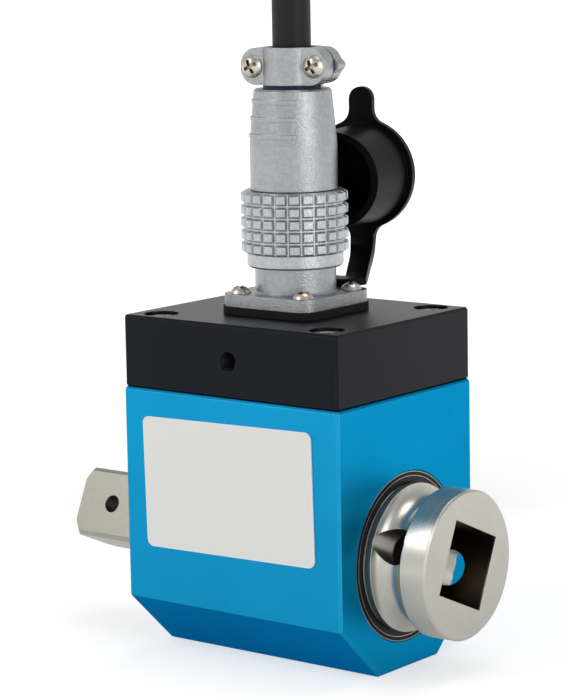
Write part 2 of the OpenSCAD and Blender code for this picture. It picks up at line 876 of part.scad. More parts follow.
module torsion_shaft() {
  color("#b9bbb8")
    difference() {
      union() {
        male_drive();
        shaft_bar(male_sq_x1, male_shoulder_x, shoulder_d);
        shaft_bar(male_shoulder_x, journal_a_x1, journal_a_d);
        torsion_section();
        shaft_bar(journal_b_x0, hub_x0, journal_b_d);
        shaft_bar(hub_x0, hub_x0 + hub_l, hub_d);
        shaft_bar(hub_x0 + hub_l, flange_x1, flange_d);
        shaft_bar(flange_x1, neck_x1, head_d);
        shaft_bar(neck_x1, head_x1 - rim_bevel, head_d);
        on_shaft(head_x1 - rim_bevel)
          cylinder(d1 = head_d, d2 = head_d - 2 * rim_bevel, h = rim_bevel);
      }
      on_shaft(neck_hole_x)
        groove(neck_d / 2 + cove_r, cove_r);
      drive_bar(head_x1 - female_l, head_x1 + cut, female_sq);
      cross_hole(neck_hole_x, neck_hole_d, head_d);
      cross_hole(-male_end_x + male_hole_x, male_hole_d, head_d);
      on_shaft(circlip_x)
        ring(journal_a_d, journal_a_d / 2 - circlip_groove, circlip_t);
    }
}

module shaft_circlip() {
  inner = journal_a_d / 2 - circlip_groove;
  outer = journal_a_d / 2 + circlip_h;
  color("#4a4b4d")
    on_shaft(circlip_x)
      difference() {
        ring(outer, inner, circlip_t);
        translate([-outer - cut, -circlip_open / 2, -cut])
          cube([outer, circlip_open, circlip_t + 2 * cut]);
      }
}

module strain_gauges() {
  color("#c98f3a")
    for (turn = [0 : quarter : 270])
      intersection() {
        on_shaft(gauge_x - gauge_l / 2)
          ring(gauge_r + gauge_t, gauge_r, gauge_l);
        translate([gauge_x, 0, shaft_z])
          rotate([turn, 0, 0])
            translate([-gauge_l / 2, -gauge_w / 2, 0])
              cube([gauge_l, gauge_w, torsion_d]);
      }
}

module rotor_board() {
  color("#1f5c3a")
    on_shaft(core_x1 + rotor_board_in)
      ring(journal_a_d / 2 + rotor_board_w, journal_a_d / 2, rotor_board_t);
}

// A ring of U-shaped section whose open side faces in or out
module core_ring(inner_r, outer_r, slot_in, slot_out) {
  difference() {
    ring(outer_r, inner_r, core_l);
    translate([0, 0, core_cheek])
      ring(slot_out, slot_in, core_l - 2 * core_cheek);
  }
}

module rotor_core() {
  color("#3a3c40")
    on_shaft(core_x0)
      core_ring(journal_a_d / 2, rotor_r, journal_a_d / 2 + core_back, rotor_r + cut);
}

module rotor_coil() {
  color("#b3622a")
    on_shaft(core_x0 + core_cheek)
      ring(rotor_r - air_gap, journal_a_d / 2 + core_back, core_l - 2 * core_cheek);
}

module stator_core() {
  color("#3a3c40")
    difference() {
      on_shaft(core_x0)
        core_ring(stator_r, bore_r, stator_r - cut, bore_r - core_back);
      translate([core_mid, 0, shaft_z])
        cylinder(d = lead_pair + 2 * stator_lead_d, h = body_h);
    }
}

module stator_coil() {
  color("#b3622a")
    on_shaft(core_x0 + core_cheek)
      ring(bore_r - core_back, stator_r + air_gap, core_l - 2 * core_cheek);
}

module spacers() {
  color("#9ea3a8") {
    on_shaft(step_x)
      ring(bore_r, bore_r - spacer_t, spacer_a_l);
    on_shaft(core_x1)
      ring(bore_r, bore_r - spacer_t, bear_b_x - bear_b_w / 2 - core_x1);
  }
}

module stator_leads() {
  lead_z = shaft_z + bore_r - core_back;
  color("#8c2b22")
    for (side = [-1, 1])
      translate([core_mid, side * lead_pair / 2, lead_z])
        cylinder(d = stator_lead_d, h = board_z - lead_z);
}

module main_board() {
  color("#1f5c3a")
    difference() {
      translate([-pocket_l / 2 + board_gap, -pocket_w / 2 + board_gap, board_z])
        cube([pocket_l - 2 * board_gap, pocket_w - 2 * board_gap, board_t]);
      at_corners(pillar_x, pillar_y)
        translate([0, 0, board_z - cut])
          cylinder(d = board_screw_d, h = board_t + 2 * cut);
    }
}

module board_parts() {
  // The chips lie between the signal leads and the long edges of the board, and the cans
  // stand midway between the leads and its ends
  chip_y = pin_circle + chip_gap;
  chip_w = pocket_w / 2 - board_gap - chip_gap - chip_y;
  can_x = (pin_circle + signal_lead_d / 2 + pocket_l / 2 - board_gap) / 2;
  color("#202225")
    translate([0, 0, board_z + board_t]) {
      for (side = [0, 1])
        mirror([0, side, 0])
          translate([-chip_l / 2, chip_y, 0])
            cube([chip_l, chip_w, chip_h]);
      for (side = [-1, 1])
        translate([side * can_x, 0, 0])
          cylinder(d = cap_can_d, h = cap_can_h);
      translate([chip_l / 2 + chip_gap, chip_y, 0])
        cube([crystal_w, crystal_w, chip_h]);
      translate([-chip_l / 2 - chip_gap - crystal_w, -chip_y - crystal_w, 0])
        cube([crystal_w, crystal_l, chip_h]);
    }
}

module board_screws() {
  color("#b9b6a6")
    at_corners(pillar_x, pillar_y)
      translate([0, 0, board_z + board_t])
        pan_screw(board_head_d, board_head_h, board_screw_d, board_screw_l);
}

// The places of the contacts, on one circle about the connector's axis
module at_contacts() {
  rotate([0, 0, plug_turn])
    for (i = [0 : contact_n - 1])
      rotate([0, 0, i * 360 / contact_n])
        translate([pin_circle, 0, 0])
          children();
}

module signal_leads() {
  color("#d8d4c8")
    at_contacts()
      translate([0, 0, board_z + board_t])
        cylinder(d = signal_lead_d, h = flange_z - recept_rear_l - pin_tail - board_z - board_t);
}

module receptacle_gasket() {
  side = recept_sq + 2 * gasket_out;
  color("#1b1c1e")
    translate([0, 0, gasket_z])
      difference() {
        round_plate(side, side, recept_r, gasket_t);
        translate([0, 0, -cut])
          cylinder(d = recept_rear_d, h = gasket_t + 2 * cut);
        at_corners(flange_screw_at, flange_screw_at)
          translate([0, 0, -cut])
            cylinder(d = flange_screw_d, h = gasket_t + 2 * cut);
      }
}

module receptacle_shell() {
  color("#b4b7ba")
    difference() {
      union() {
        translate([0, 0, flange_z])
          round_plate(recept_sq, recept_sq, recept_r, recept_t);
        translate([0, 0, flange_z - recept_rear_l])
          cylinder(d = recept_rear_d, h = recept_rear_l + recept_t);
        translate([0, 0, flange_z])
          cylinder(d = barrel_d, h = recept_t + barrel_h);
        translate([0, 0, barrel_z])
          cylinder(d1 = barrel_d + 2 * rim_bevel, d2 = barrel_d, h = rim_bevel);
      }
      translate([0, 0, flange_z - recept_rear_l - cut])
        cylinder(d = recept_rear_d - 2 * barrel_wall, h = recept_rear_l + recept_t + cut);
      translate([0, 0, flange_z + recept_t / 2])
        cylinder(d = barrel_in_d, h = barrel_h + recept_t);
      at_corners(flange_screw_at, flange_screw_at)
        translate([0, 0, flange_z - cut])
          cylinder(d = flange_screw_d, h = recept_t + 2 * cut);
    }
}

module receptacle_insert() {
  color("#2b3440")
    difference() {
      union() {
        translate([0, 0, flange_z - recept_rear_l])
          cylinder(d = recept_rear_d - 2 * barrel_wall, h = recept_rear_l + recept_t / 2);
        translate([0, 0, flange_z + recept_t / 2])
          cylinder(d = barrel_in_d, h = insert_z - flange_z - recept_t / 2);
      }
      at_contacts()
        translate([0, 0, flange_z - recept_rear_l - cut])
          cylinder(d = pin_d, h = insert_z);
    }
}

module receptacle_pins() {
  color("#d9b24a")
    at_contacts()
      translate([0, 0, flange_z - recept_rear_l - pin_tail])
        cylinder(d = pin_d, h = insert_z + pin_l - flange_z + recept_rear_l + pin_tail);
}

// The strap's eyelet lies under the rear screw's head, so that screw sits higher
module flange_screws() {
  color("#c4b594")
    for (sx = [-1, 1], sy = [-1, 1]) {
      raised = sx < 0 && sy > 0 ? cap_t : 0;
      translate([sx * flange_screw_at, sy * flange_screw_at, barrel_z + raised])
        rotate([0, 0, sx * 20 + sy * 15])
          pan_screw(flange_head_d, flange_head_h, flange_screw_d, flange_screw_l);
    }
}

// Half of the knurl's outline: a bevelled pad for each row with a groove between rows
function pad_points(row, row_h, r) = [
  [r - knurl_depth, row * row_h + knurl_ring_w * groove_share / 2],
  [r, row * row_h + knurl_ring_w / 2],
  [r, (row + 1) * row_h - knurl_ring_w / 2],
  [r - knurl_depth, (row + 1) * row_h - knurl_ring_w * groove_share / 2]
];

// The knurl: pads in rows, cut into columns by lengthwise grooves
module knurl() {
  row_h = knurl_h / knurl_rows;
  r = knurl_d / 2;
  inner = r - knurl_depth - edge;
  difference() {
    rotate_extrude()
      polygon(concat(
        [[inner, 0]],
        [for (row = [0 : knurl_rows - 1]) each pad_points(row, row_h, r)],
        [[inner, knurl_h]]
      ));
    for (i = [0 : knurl_cols - 1])
      rotate([0, 0, i * 360 / knurl_cols])
        translate([r, 0, -cut])
          linear_extrude(height = knurl_h + 2 * cut)
            polygon([
              [cut, -knurl_slot_w / 2], [0, -knurl_slot_w / 2],
              [-knurl_depth, -knurl_slot_w * groove_share / 2],
              [-knurl_depth, knurl_slot_w * groove_share / 2],
              [0, knurl_slot_w / 2], [cut, knurl_slot_w / 2]
            ]);
  }
}

module coupling_ring() {
  bore_d = barrel_d + 2 * ring_gap;
  core_d = knurl_d - 2 * knurl_depth - edge;
  color("#aeb1b4")
    difference() {
      union() {
        translate([0, 0, skirt_z])
          cylinder(d1 = skirt_d - 2 * rim_bevel, d2 = skirt_d, h = rim_bevel);
        translate([0, 0, skirt_z + rim_bevel])
          cylinder(d = skirt_d, h = skirt_h - rim_bevel);
        translate([0, 0, knurl_z])
          cylinder(d = core_d, h = knurl_h);
        translate([0, 0, knurl_z])
          knurl();
      }
      translate([0, 0, skirt_z - cut])
        cylinder(d = bore_d, h = ring_lip_z - skirt_z + cut);
      translate([0, 0, skirt_z])
        cylinder(d = plug_top_d + 2 * ring_gap, h = ring_top);
    }
}

module plug_shell() {
  color("#aeb1b4")
    difference() {
      union() {
        translate([0, 0, plug_z])
          cylinder(d = plug_low_d, h = barrel_top - plug_z + cut);
        translate([0, 0, barrel_top])
          cylinder(d = collar_d, h = collar_t);
        translate([0, 0, barrel_top])
          cylinder(d = plug_top_d, h = plug_top - barrel_top);
      }
      translate([0, 0, plug_z - cut])
        cylinder(d = plug_insert_d, h = plug_top);
    }
}

module plug_insert() {
  color("#2b3440")
    difference() {
      translate([0, 0, plug_z])
        cylinder(d = plug_insert_d, h = plug_top - plug_z - shell_grip / 2);
      at_contacts()
        translate([0, 0, plug_z - cut])
          cylinder(d = contact_d, h = shell_h);
    }
}

module plug_contacts() {
  color("#d9b24a")
    at_contacts()
      translate([0, 0, plug_z])
        ring(contact_d / 2, pin_d / 2, plug_top - plug_z);
}

// A saddle's outline across the cable: two lugs with round ends
module saddle_block(depth) {
  translate([0, 0, clamp_mid])
    rotate([quarter, 0, 0])
      round_plate(saddle_l, clamp_h, lug_r, depth);
}

// What the grommet and the two clamp screws need out of a saddle
module saddle_cuts() {
  translate([0, 0, shell_top - cut])
    cylinder(d = cable_d + 2 * grommet_wall, h = clamp_h + clamp_lift + 2 * cut);
}

// Copies at the two clamp screws, with the screw's axis along the saddle's normal
module at_clamp_screws() {
  for (side = [-1, 1])
    translate([side * clamp_screw_at, 0, clamp_mid])
      rotate([quarter, 0, 0])
        children();
}

module backshell() {
  taper_z = shell_top - shell_h * taper_share;
  screw_in = saddle_rear - edge;
  color("#b4b7ba")
    rotate([0, 0, plug_turn])
      difference() {
        union() {
          translate([0, 0, shell_z])
            cylinder(d = shell_d0, h = taper_z - shell_z);
          translate([0, 0, taper_z])
            cylinder(d1 = shell_d0, d2 = shell_d1, h = shell_top - rim_bevel - taper_z);
          translate([0, 0, shell_top - rim_bevel])
            cylinder(d1 = shell_d1, d2 = shell_d1 - 2 * rim_bevel, h = rim_bevel);
          for (side = [0, 1])
            mirror([0, side, 0])
              grip_ribs();
          intersection() {
            union() {
              translate([0, saddle_gap / 2 + saddle_rear, 0])
                saddle_block(saddle_rear);
              translate([0, saddle_gap / 2 + saddle_rear, clamp_mid])
                rotate([quarter, 0, 0])
                  linear_extrude(height = saddle_rear)
                    for (side = [0, 1])
                      mirror([side, 0])
                        ear();
              translate([0, 0, shell_top - rim_bevel])
                cylinder(d = arm_d, h = clamp_h + clamp_lift + rim_bevel);
            }
            translate([-saddle_l, saddle_gap / 2, shell_top - rim_bevel])
              cube([2 * saddle_l, saddle_rear + arch_r, clamp_h + clamp_lift + rim_bevel]);
          }
        }
        translate([0, 0, shell_z - cut])
          cylinder(d = plug_top_d, h = shell_grip + cut);
        translate([0, 0, shell_z])
          cylinder(d = shell_bore_d, h = shell_h - grommet_in);
        translate([0, 0, shell_top - grommet_in])
          cylinder(d = grommet_d, h = grommet_in + clamp_lift);
        saddle_cuts();
        at_clamp_screws()
          translate([0, 0, -screw_in])
            cylinder(d = clamp_screw_d, h = screw_in);
      }
}

// The point of one ear: two lines that touch the lug's round end and a small round tip
module ear() {
  lug_at = saddle_l / 2 - lug_r;
  tip_at = saddle_l / 2 + ear_out - ear_r;
  lean = asin((lug_r - ear_r) / (tip_at - lug_at));
  near = [lug_at + lug_r * sin(lean), lug_r * cos(lean)];
  far = [tip_at + ear_r * sin(lean), ear_r * cos(lean)];
  translate([tip_at, 0])
    circle(r = ear_r);
  polygon([[lug_at, -near[1]], [near[0], -near[1]], [far[0], -far[1]], far, near, [lug_at, near[1]]]);
}

// The raised ribs on one side, which follow the taper
module grip_ribs() {
  for (i = [0 : grip_n - 1]) {
    below = grip_top + i * grip_pitch;
    rib_r = shell_d1 / 2 + (shell_d0 - shell_d1) / 2 * below / (shell_h * taper_share);
    rotate([0, 0, -quarter - grip_turn - grip_angle / 2])
      translate([0, 0, shell_top - below])
        rotate_extrude(angle = grip_angle)
          translate([rib_r - grip_out, -grip_h / 2])
            square([2 * grip_out, grip_h]);
  }
}

module front_saddle() {
  color("#b4b7ba")
    rotate([0, 0, plug_turn])
      difference() {
        intersection() {
          union() {
            translate([0, -saddle_gap / 2, 0])
              saddle_block(saddle_front - saddle_gap / 2);
            translate([0, 0, clamp_z])
              cylinder(r = arch_r, h = clamp_h);
          }
          translate([-saddle_l, -arch_r - cut, clamp_z])
            cube([2 * saddle_l, arch_r + cut - saddle_gap / 2, clamp_h]);
        }
        saddle_cuts();
        at_clamp_screws()
          cylinder(d = clamp_screw_d, h = saddle_front + cut);
        at_clamp_screws()
          translate([0, 0, saddle_front])
            cylinder(d = clamp_head_d + 2 * head_gap, h = arch_r);
      }
}

module clamp_screws() {
  color("#c4b594")
    rotate([0, 0, plug_turn])
      at_clamp_screws()
        translate([0, 0, saddle_front])
          rotate([0, 0, 25])
            pan_screw(clamp_head_d, clamp_head_h, clamp_screw_d, saddle_front + saddle_rear - 2 * edge);
}

module grommet() {
  color("#1d1e33")
    difference() {
      union() {
        translate([0, 0, shell_top - grommet_in])
          cylinder(d = grommet_d, h = grommet_in + clamp_lift);
        translate([0, 0, clamp_z])
          cylinder(d = cable_d + 2 * grommet_wall, h = clamp_h - edge);
      }
      translate([0, 0, shell_top - grommet_in - cut])
        cylinder(d = cable_d, h = grommet_in + clamp_h + clamp_lift + 2 * cut);
    }
}

// The flat outline of the cap: disc, pull tab above and the root of the strap below
module cap_outline() {
  r = cap_d / 2;
  half = strap_w / 2;
  reach = half + tab_fillet;
  // Height of a fillet's centre, and how far out the fillet touches the disc
  rise = sqrt((r + tab_fillet) * (r + tab_fillet) - reach * reach);
  touch = reach * r / (r + tab_fillet);
  circle(r = r);
  translate([0, tab_h - half])
    circle(r = half);
  translate([-half, 0])
    square([strap_w, tab_h - half]);
  translate([-half, -rise])
    square([strap_w, rise]);
  for (up = [0, 1])
    mirror([0, up])
      difference() {
        translate([-touch, 0])
          square([2 * touch, rise]);
        for (side = [-1, 1])
          translate([side * reach, rise])
            circle(r = tab_fillet);
      }
}

// Stations of the hanging stretch: share of the way to the bend, share of the height left
// and the share of lying flat
hang_shares = [
  [0, 1, 0], [0.02, 0.78, 0.18], [0.1, 0.58, 0.48], [0.27, 0.38, 0.7], [0.48, 0.26, 0.81],
  [0.67, 0.16, 0.83], [0.85, 0.06, 0.88]
];
bend_angle = 20;
wrap_angle = 11;

// Heading of the hanging stretch and the direction of the ribbon's width there
bend_way = strap_bend - strap_foot;
bend_in = atan2(bend_way[1], bend_way[0]) + quarter - asin(strap_bend_r / norm(bend_way));
bend_start = strap_bend + strap_bend_r * [cos(bend_in), sin(bend_in)];
foot_z = cap_at[2] - cap_d / 2;

// Each station of the strap: [x, y, z, direction of its width, tilt]
strap_route = concat(
  [for (h = hang_shares) concat(
    strap_foot + h[0] * (bend_start - strap_foot),
    strap_z + h[1] * (foot_z - strap_z),
    cap_turn + min(1, 3 * h[0]) * (bend_in - cap_turn),
    h[2] * quarter
  )],
  [for (a = [bend_in : -bend_angle : bend_angle / 2 - quarter]) concat(
    strap_bend + strap_bend_r * [cos(a), sin(a)], strap_z, a, quarter
  )],
  [for (b = [quarter : wrap_angle : 3 * quarter / 2]) concat(
    strap_lay_r * [cos(b), sin(b)], strap_z, b - 2 * quarter, quarter
  )]
);

module dust_cap() {
  skirt_l = cap_l - cap_t;
  color("#26262a")
    difference() {
      union() {
        translate(cap_at)
          rotate([0, 0, cap_turn])
            rotate([quarter, 0, 0]) {
              linear_extrude(height = cap_t)
                cap_outline();
              translate([0, 0, cap_t])
                cylinder(d1 = cap_root_d, d2 = mouth_d, h = skirt_l);
            }
        strap();
        translate([-flange_screw_at, flange_screw_at, barrel_z])
          cylinder(r = strap_end_r, h = cap_t);
      }
      translate(cap_at)
        rotate([0, 0, cap_turn])
          rotate([quarter, 0, 0])
            translate([0, 0, cap_t])
              cylinder(d = mouth_d - 2 * cap_wall, h = skirt_l + cut);
      translate([-flange_screw_at, flange_screw_at, barrel_z - cut])
        cylinder(d = flange_screw_d, h = cap_t + 2 * cut);
    }
}

// Corners of the ribbon at one station: turn is about the vertical, tilt lays it flat
function ribbon_corner(p, u, v) =
  let (side = [cos(p[3]), sin(p[3]), 0])
  let (back = [-sin(p[3]), cos(p[3]), 0])
  let (face = cos(p[4]) * back - sin(p[4]) * [0, 0, 1])
  [p[0], p[1], p[2]] + u * side + v * face;

module strap() {
  half = strap_w / 2;
  thin = cap_t / 2;
  n = len(strap_route);
  // The first corner of the last station
  e = 4 * (n - 1);
  corners = [
    for (p = strap_route)
      each [
        ribbon_corner(p, -half, -thin), ribbon_corner(p, half, -thin),
        ribbon_corner(p, half, thin), ribbon_corner(p, -half, thin)
      ]
  ];
  sides = [
    for (i = [0 : n - 2], k = [0 : 3])
      let (a = 4 * i + k, b = 4 * i + (k + 1) % 4)
      each [[a, b, a + 4], [b, b + 4, a + 4]]
  ];
  polyhedron(
    points = corners,
    faces = concat([[3, 2, 1], [3, 1, 0]], sides, [[e, e + 1, e + 2], [e, e + 2, e + 3]])
  );
}

// A smooth curve through the route's points
function curve(a, b, c, d, t) =
  (2 * b + (c - a) * t + (2 * a - 5 * b + 4 * c - d) * t * t + (3 * b - a - 3 * c + d) * t * t * t) / 2;
route_n = len(route);
function route_at(i) =
  i < 0 ? 2 * route[0] - route[1] :
  i >= route_n ? 2 * route[route_n - 1] - route[route_n - 2] :
  route[i];
riser_line = [
  for (i = [0 : route_n - 2], s = [0 : tube_steps - 1])
    curve(route_at(i - 1), route_at(i), route_at(i + 1), route_at(i + 2), s / tube_steps),
  route[route_n - 1]
];
riser_n = len(riser_line);
function unit(v) = v / norm(v);
function heading(i) =
  i == 0 ? [0, 0, 1] :
  i == riser_n - 1 ? [0, 1, 0] :
  unit(riser_line[i + 1] - riser_line[i - 1]);
// The tube's own sideways direction, carried along so that it doesn't twist
function carried(i, before) =
  let (flat = before - (before * heading(i)) * heading(i))
  unit(flat);
function side_list(i, before) =
  i == riser_n ? [] : let (now = carried(i, before)) concat([now], side_list(i + 1, now));

module cable_riser() {
  sides = side_list(0, [1, 0, 0]);
  ring_points = [
    for (i = [0 : riser_n - 1], k = [0 : tube_sides - 1])
      let (across = cross(heading(i), sides[i]), turn = k * 360 / tube_sides)
      riser_line[i] + cable_d / 2 * (cos(turn) * sides[i] + sin(turn) * across)
  ];
  walls = [
    for (i = [0 : riser_n - 2], k = [0 : tube_sides - 1])
      let (a = i * tube_sides + k, b = i * tube_sides + (k + 1) % tube_sides)
      each [[a, a + tube_sides, b], [b, a + tube_sides, b + tube_sides]]
  ];
  first = [for (k = [0 : tube_sides - 1]) k];
  last = [for (k = [tube_sides - 1 : -1 : 0]) (riser_n - 1) * tube_sides + k];
  color("#202022")
    rotate([0, 0, cable_turn])
      polyhedron(points = ring_points, faces = concat([first], walls, [last]));
}

// Places the coil's own frame: its axis behind the connector
module at_coil() {
  rotate([0, 0, cable_turn])
    translate([0, coil_back, 0])
      children();
}

module cable_coil() {
  color("#202022")
    at_coil()
      ring(coil_r + cable_d / 2, coil_r - cable_d / 2, coil_h);
}

module cable_ties() {
  color("#17181a")
    at_coil()
      for (turn = [quarter, 210, 330])
        rotate([0, 0, turn])
          translate([coil_r, 0, 0])
            difference() {
              translate([-cable_d / 2 - tie_t, -tie_w / 2, 0])
                cube([cable_d + 2 * tie_t, tie_w, coil_h + tie_t]);
              translate([-cable_d / 2, -tie_w, tie_t])
                cube([cable_d, 2 * tie_w, coil_h - tie_t]);
            }
}

// The frame of the cable's free end: on the top turn, pointing along the turn
end_turn = 180 - coil_turns * 360;
end_z = coil_h - cable_d / 2;

module at_cable_end() {
  at_coil()
    rotate([0, 0, end_turn])
      translate([coil_r, 0, end_z])
        rotate([quarter, 0, 0])
          children();
}

module cable_sleeve() {
  color("#141416")
    at_cable_end()
      cylinder(d = sleeve_d, h = sleeve_l);
}

// Copies where the leads leave the sleeve
module at_leads() {
  at_cable_end()
    for (i = [0 : lead_n - 1])
      rotate([0, 0, i * 360 / lead_n])
        translate([lead_d * lead_share, 0, sleeve_l])
          rotate([0, lead_spread, 0])
            children();
}

module cable_leads() {
  color("#c8c2b4")
    at_leads()
      cylinder(d = lead_d, h = lead_l);
}

module lead_ferrules() {
  color("#c9ccce")
    at_leads()
      translate([0, 0, lead_l])
        cylinder(d = ferrule_d, h = ferrule_l);
}

housing();
top_cover();
cover_screws();
label();
bearing_a_outer();
bearing_a_inner();
bearing_a_balls();
bearing_a_cage();
bearing_a_seals();
bearing_b_outer();
bearing_b_inner();
bearing_b_balls();
bearing_b_cage();
bearing_b_seals();
torsion_shaft();
shaft_circlip();
strain_gauges();
rotor_board();
rotor_core();
rotor_coil();
stator_core();
stator_coil();
spacers();
stator_leads();
main_board();
board_parts();
board_screws();
signal_leads();
receptacle_gasket();
receptacle_shell();
receptacle_insert();
receptacle_pins();
flange_screws();
coupling_ring();
plug_shell();
plug_insert();
plug_contacts();
backshell();
front_saddle();
clamp_screws();
grommet();
dust_cap();
cable_riser();
cable_coil();
cable_ties();
cable_sleeve();
cable_leads();
lead_ferrules();
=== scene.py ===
# %% [markdown]
# # A rotary torque sensor
# The solids of the sensor come from its CAD model and stay as they are. This script puts the
# photographer's camera and lights round them, lays the cable, and gives each piece the finish
# that the real one has. Everything is in metres, in the CAD model's own frame: the origin is
# the middle of the base, +X runs along the shaft to the female square and +Z is up.

# %% Load the frame
import math

import bpy
from mathutils import Matrix, Vector


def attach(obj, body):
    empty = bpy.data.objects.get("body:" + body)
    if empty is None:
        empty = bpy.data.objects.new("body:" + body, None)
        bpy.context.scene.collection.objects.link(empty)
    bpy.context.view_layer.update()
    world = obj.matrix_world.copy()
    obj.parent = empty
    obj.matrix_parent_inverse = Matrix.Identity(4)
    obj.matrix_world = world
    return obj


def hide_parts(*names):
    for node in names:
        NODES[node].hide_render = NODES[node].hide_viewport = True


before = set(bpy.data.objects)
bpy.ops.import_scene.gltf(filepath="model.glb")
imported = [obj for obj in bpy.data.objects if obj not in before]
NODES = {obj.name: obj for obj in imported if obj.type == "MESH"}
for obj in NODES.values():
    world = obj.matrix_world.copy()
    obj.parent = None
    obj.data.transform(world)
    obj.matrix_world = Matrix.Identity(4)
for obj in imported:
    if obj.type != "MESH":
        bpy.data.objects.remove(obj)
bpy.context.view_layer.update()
MM = 0.001
print("CAD pieces:", len(NODES))

# %% [markdown]
# ## The camera
# The photo was taken with a long lens from the front right, a little above the shaft. A long
# lens keeps the block's edges almost parallel. The camera's place and angle were found by
# matching the corners of the block, so it isn't aimed by hand here: its axes are worked out
# from the azimuth, the elevation and the small roll.

# %% Camera
CAMERA_AT = Vector((424.1, -543.98, 192.1)) * MM
AZIMUTH = math.radians(38.213)
ELEVATION = math.radians(9.262)
ROLL = math.radians(-1.044)
PHOTO_WIDTH_PX = 569
FOCAL_PX = 2673.4
SENSOR_MM = 36

level_right = Vector((math.cos(AZIMUTH), math.sin(AZIMUTH), 0))
level_back = Vector((math.sin(AZIMUTH), -math.cos(AZIMUTH), 0))
back = level_back * math.cos(ELEVATION) + Vector((0, 0, math.sin(ELEVATION)))
level_up = back.cross(level_right)
right = level_right * math.cos(ROLL) + level_up * math.sin(ROLL)
up = back.cross(right)

lens = bpy.data.cameras.new("camera")
lens.sensor_fit = "HORIZONTAL"
lens.sensor_width = SENSOR_MM
lens.lens = FOCAL_PX * SENSOR_MM / PHOTO_WIDTH_PX
lens.clip_end = 50
camera = bpy.data.objects.new("camera", lens)
camera.matrix_world = Matrix.Translation(CAMERA_AT) @ Matrix((right, up, back)).transposed().to_4x4()
bpy.context.scene.collection.objects.link(camera)
bpy.context.scene.camera = camera
bpy.context.scene.view_settings.view_transform = "Standard"
print("lens mm:", round(lens.lens, 1))

# %% [markdown]
# ## Small helpers
# Colours are written as the sRGB hex values that a colour picker gives and turned to linear
# light by one function. A second function adds one shader node with its settings and its
# links, so a material reads as a short list of what feeds what.

# %% Helpers
def linear(hex_colour):
    """An sRGB hex colour as linear RGBA."""
    out = []
    for i in (1, 3, 5):
        v = int(hex_colour[i:i + 2], 16) / 255
        out.append(v / 12.92 if v <= 0.04045 else ((v + 0.055) / 1.055) ** 2.4)
    return (*out, 1.0)


def add(tree, kind, inputs=None, **settings):
    """Adds a node. Each input is a value or another node's output socket."""
    node = tree.nodes.new(kind)
    for name, value in settings.items():
        setattr(node, name, value)
    for name, value in (inputs or {}).items():
        if isinstance(value, bpy.types.NodeSocket):
            tree.links.new(value, node.inputs[name])
        else:
            node.inputs[name].default_value = value
    return node


def new_material(name):
    """An empty node material: its tree, its shader and its object coordinates."""
    material = bpy.data.materials.new(name)
    material.use_nodes = True
    tree = material.node_tree
    shader = tree.nodes["Principled BSDF"]
    place = add(tree, "ShaderNodeTexCoord").outputs["Object"]
    return material, tree, shader, place


def per_mm(size_mm):
    """The texture scale whose pattern repeats every size_mm."""
    return 1 / (size_mm * MM)


def blend_colours(tree, factor, first, second):
    """A mix of two colours, each a hex value or a socket."""
    mix = add(tree, "ShaderNodeMix", data_type="RGBA")
    for index, value in ((6, first), (7, second)):
        if isinstance(value, str):
            mix.inputs[index].default_value = linear(value)
        else:
            tree.links.new(value, mix.inputs[index])
    tree.links.new(factor, mix.inputs[0])
    return mix.outputs[2]


def edge_mask(tree, radius_mm):
    """1 along the outer edges of a solid and 0 on its faces."""
    soft = add(tree, "ShaderNodeBevel", {"Radius": radius_mm * MM}, samples=6)
    sharp = add(tree, "ShaderNodeNewGeometry")
    same = add(tree, "ShaderNodeVectorMath", {
        0: soft.outputs[0], 1: sharp.outputs["Normal"],
    }, operation="DOT_PRODUCT")
    return add(tree, "ShaderNodeMapRange", {
        "Value": same.outputs["Value"], "From Min": 0.995, "From Max": 0.9, "To Min": 0.0, "To Max": 1.0,
    }).outputs[0]


def bumped(tree, height, strength, depth_mm, edge_mm=0.0):
    """A bump normal on top of edges that are rounded by edge_mm."""
    bump = add(tree, "ShaderNodeBump", {"Height": height, "Strength": strength, "Distance": depth_mm * MM})
    if edge_mm > 0:
        soft = add(tree, "ShaderNodeBevel", {"Radius": edge_mm * MM}, samples=6)
        tree.links.new(soft.outputs[0], bump.inputs["Normal"])
    return bump.outputs[0]


def dress(material, *names):
    """Gives CAD pieces a material in all their slots."""
    for name in names:
        mesh = NODES[name].data
        if not mesh.materials:
            mesh.materials.append(material)
        for i in range(len(mesh.materials)):
            mesh.materials[i] = material
    print(material.name, "->", ", ".join(names))


# %% [markdown]
# ## The cable
# A sensor lead is a round PVC cable about 2 m long. It stands up out of the clamp, bends
# over behind the connector and comes down to the bench, where the spare length is wound
# into a coil that the block hides. A curve with a round bevel is the natural way to make it.
# The points of the free stretch are listed, and a spline that passes through them
# is sampled finely. The coil's turns are worked out by a loop.

# %% Cable route
CABLE_D = 10 * MM
CABLE_TURN = math.radians(38)
COIL_R = 50
COIL_TURNS = 5
COIL_BACK = 178
ROUTE = [
    (0, 0, 143), (0, 0, 158), (0, 0, 173), (0, 0, 188), (0, 3.5, 205.5), (0, 13.5, 220.5),
    (0, 28.5, 230.5), (0, 46, 234), (0, 63.5, 230.5), (0, 78.5, 220.5), (0, 88.5, 205.5),
    (0, 92, 188), (0, 92, 168), (0, 92, 148), (0, 92, 128), (0, 92, 110),
    (-1, 92.5, 93), (-5, 94.5, 76.5), (-13, 99, 60), (-24, 106.5, 45.5), (-34, 117, 33),
    (-42.5, 130.5, 22.5), (-48, 146, 13.5), (-50, 162, 7.5), (-50, 178, 5),
]
STEPS_PER_SPAN = 5
STEPS_PER_TURN = 72


def through(a, b, c, d, t):
    """A smooth curve from b to c that also heeds a and d."""
    return (2 * b + (c - a) * t + (2 * a - 5 * b + 4 * c - d) * t ** 2 + (3 * b - a - 3 * c + d) * t ** 3) / 2


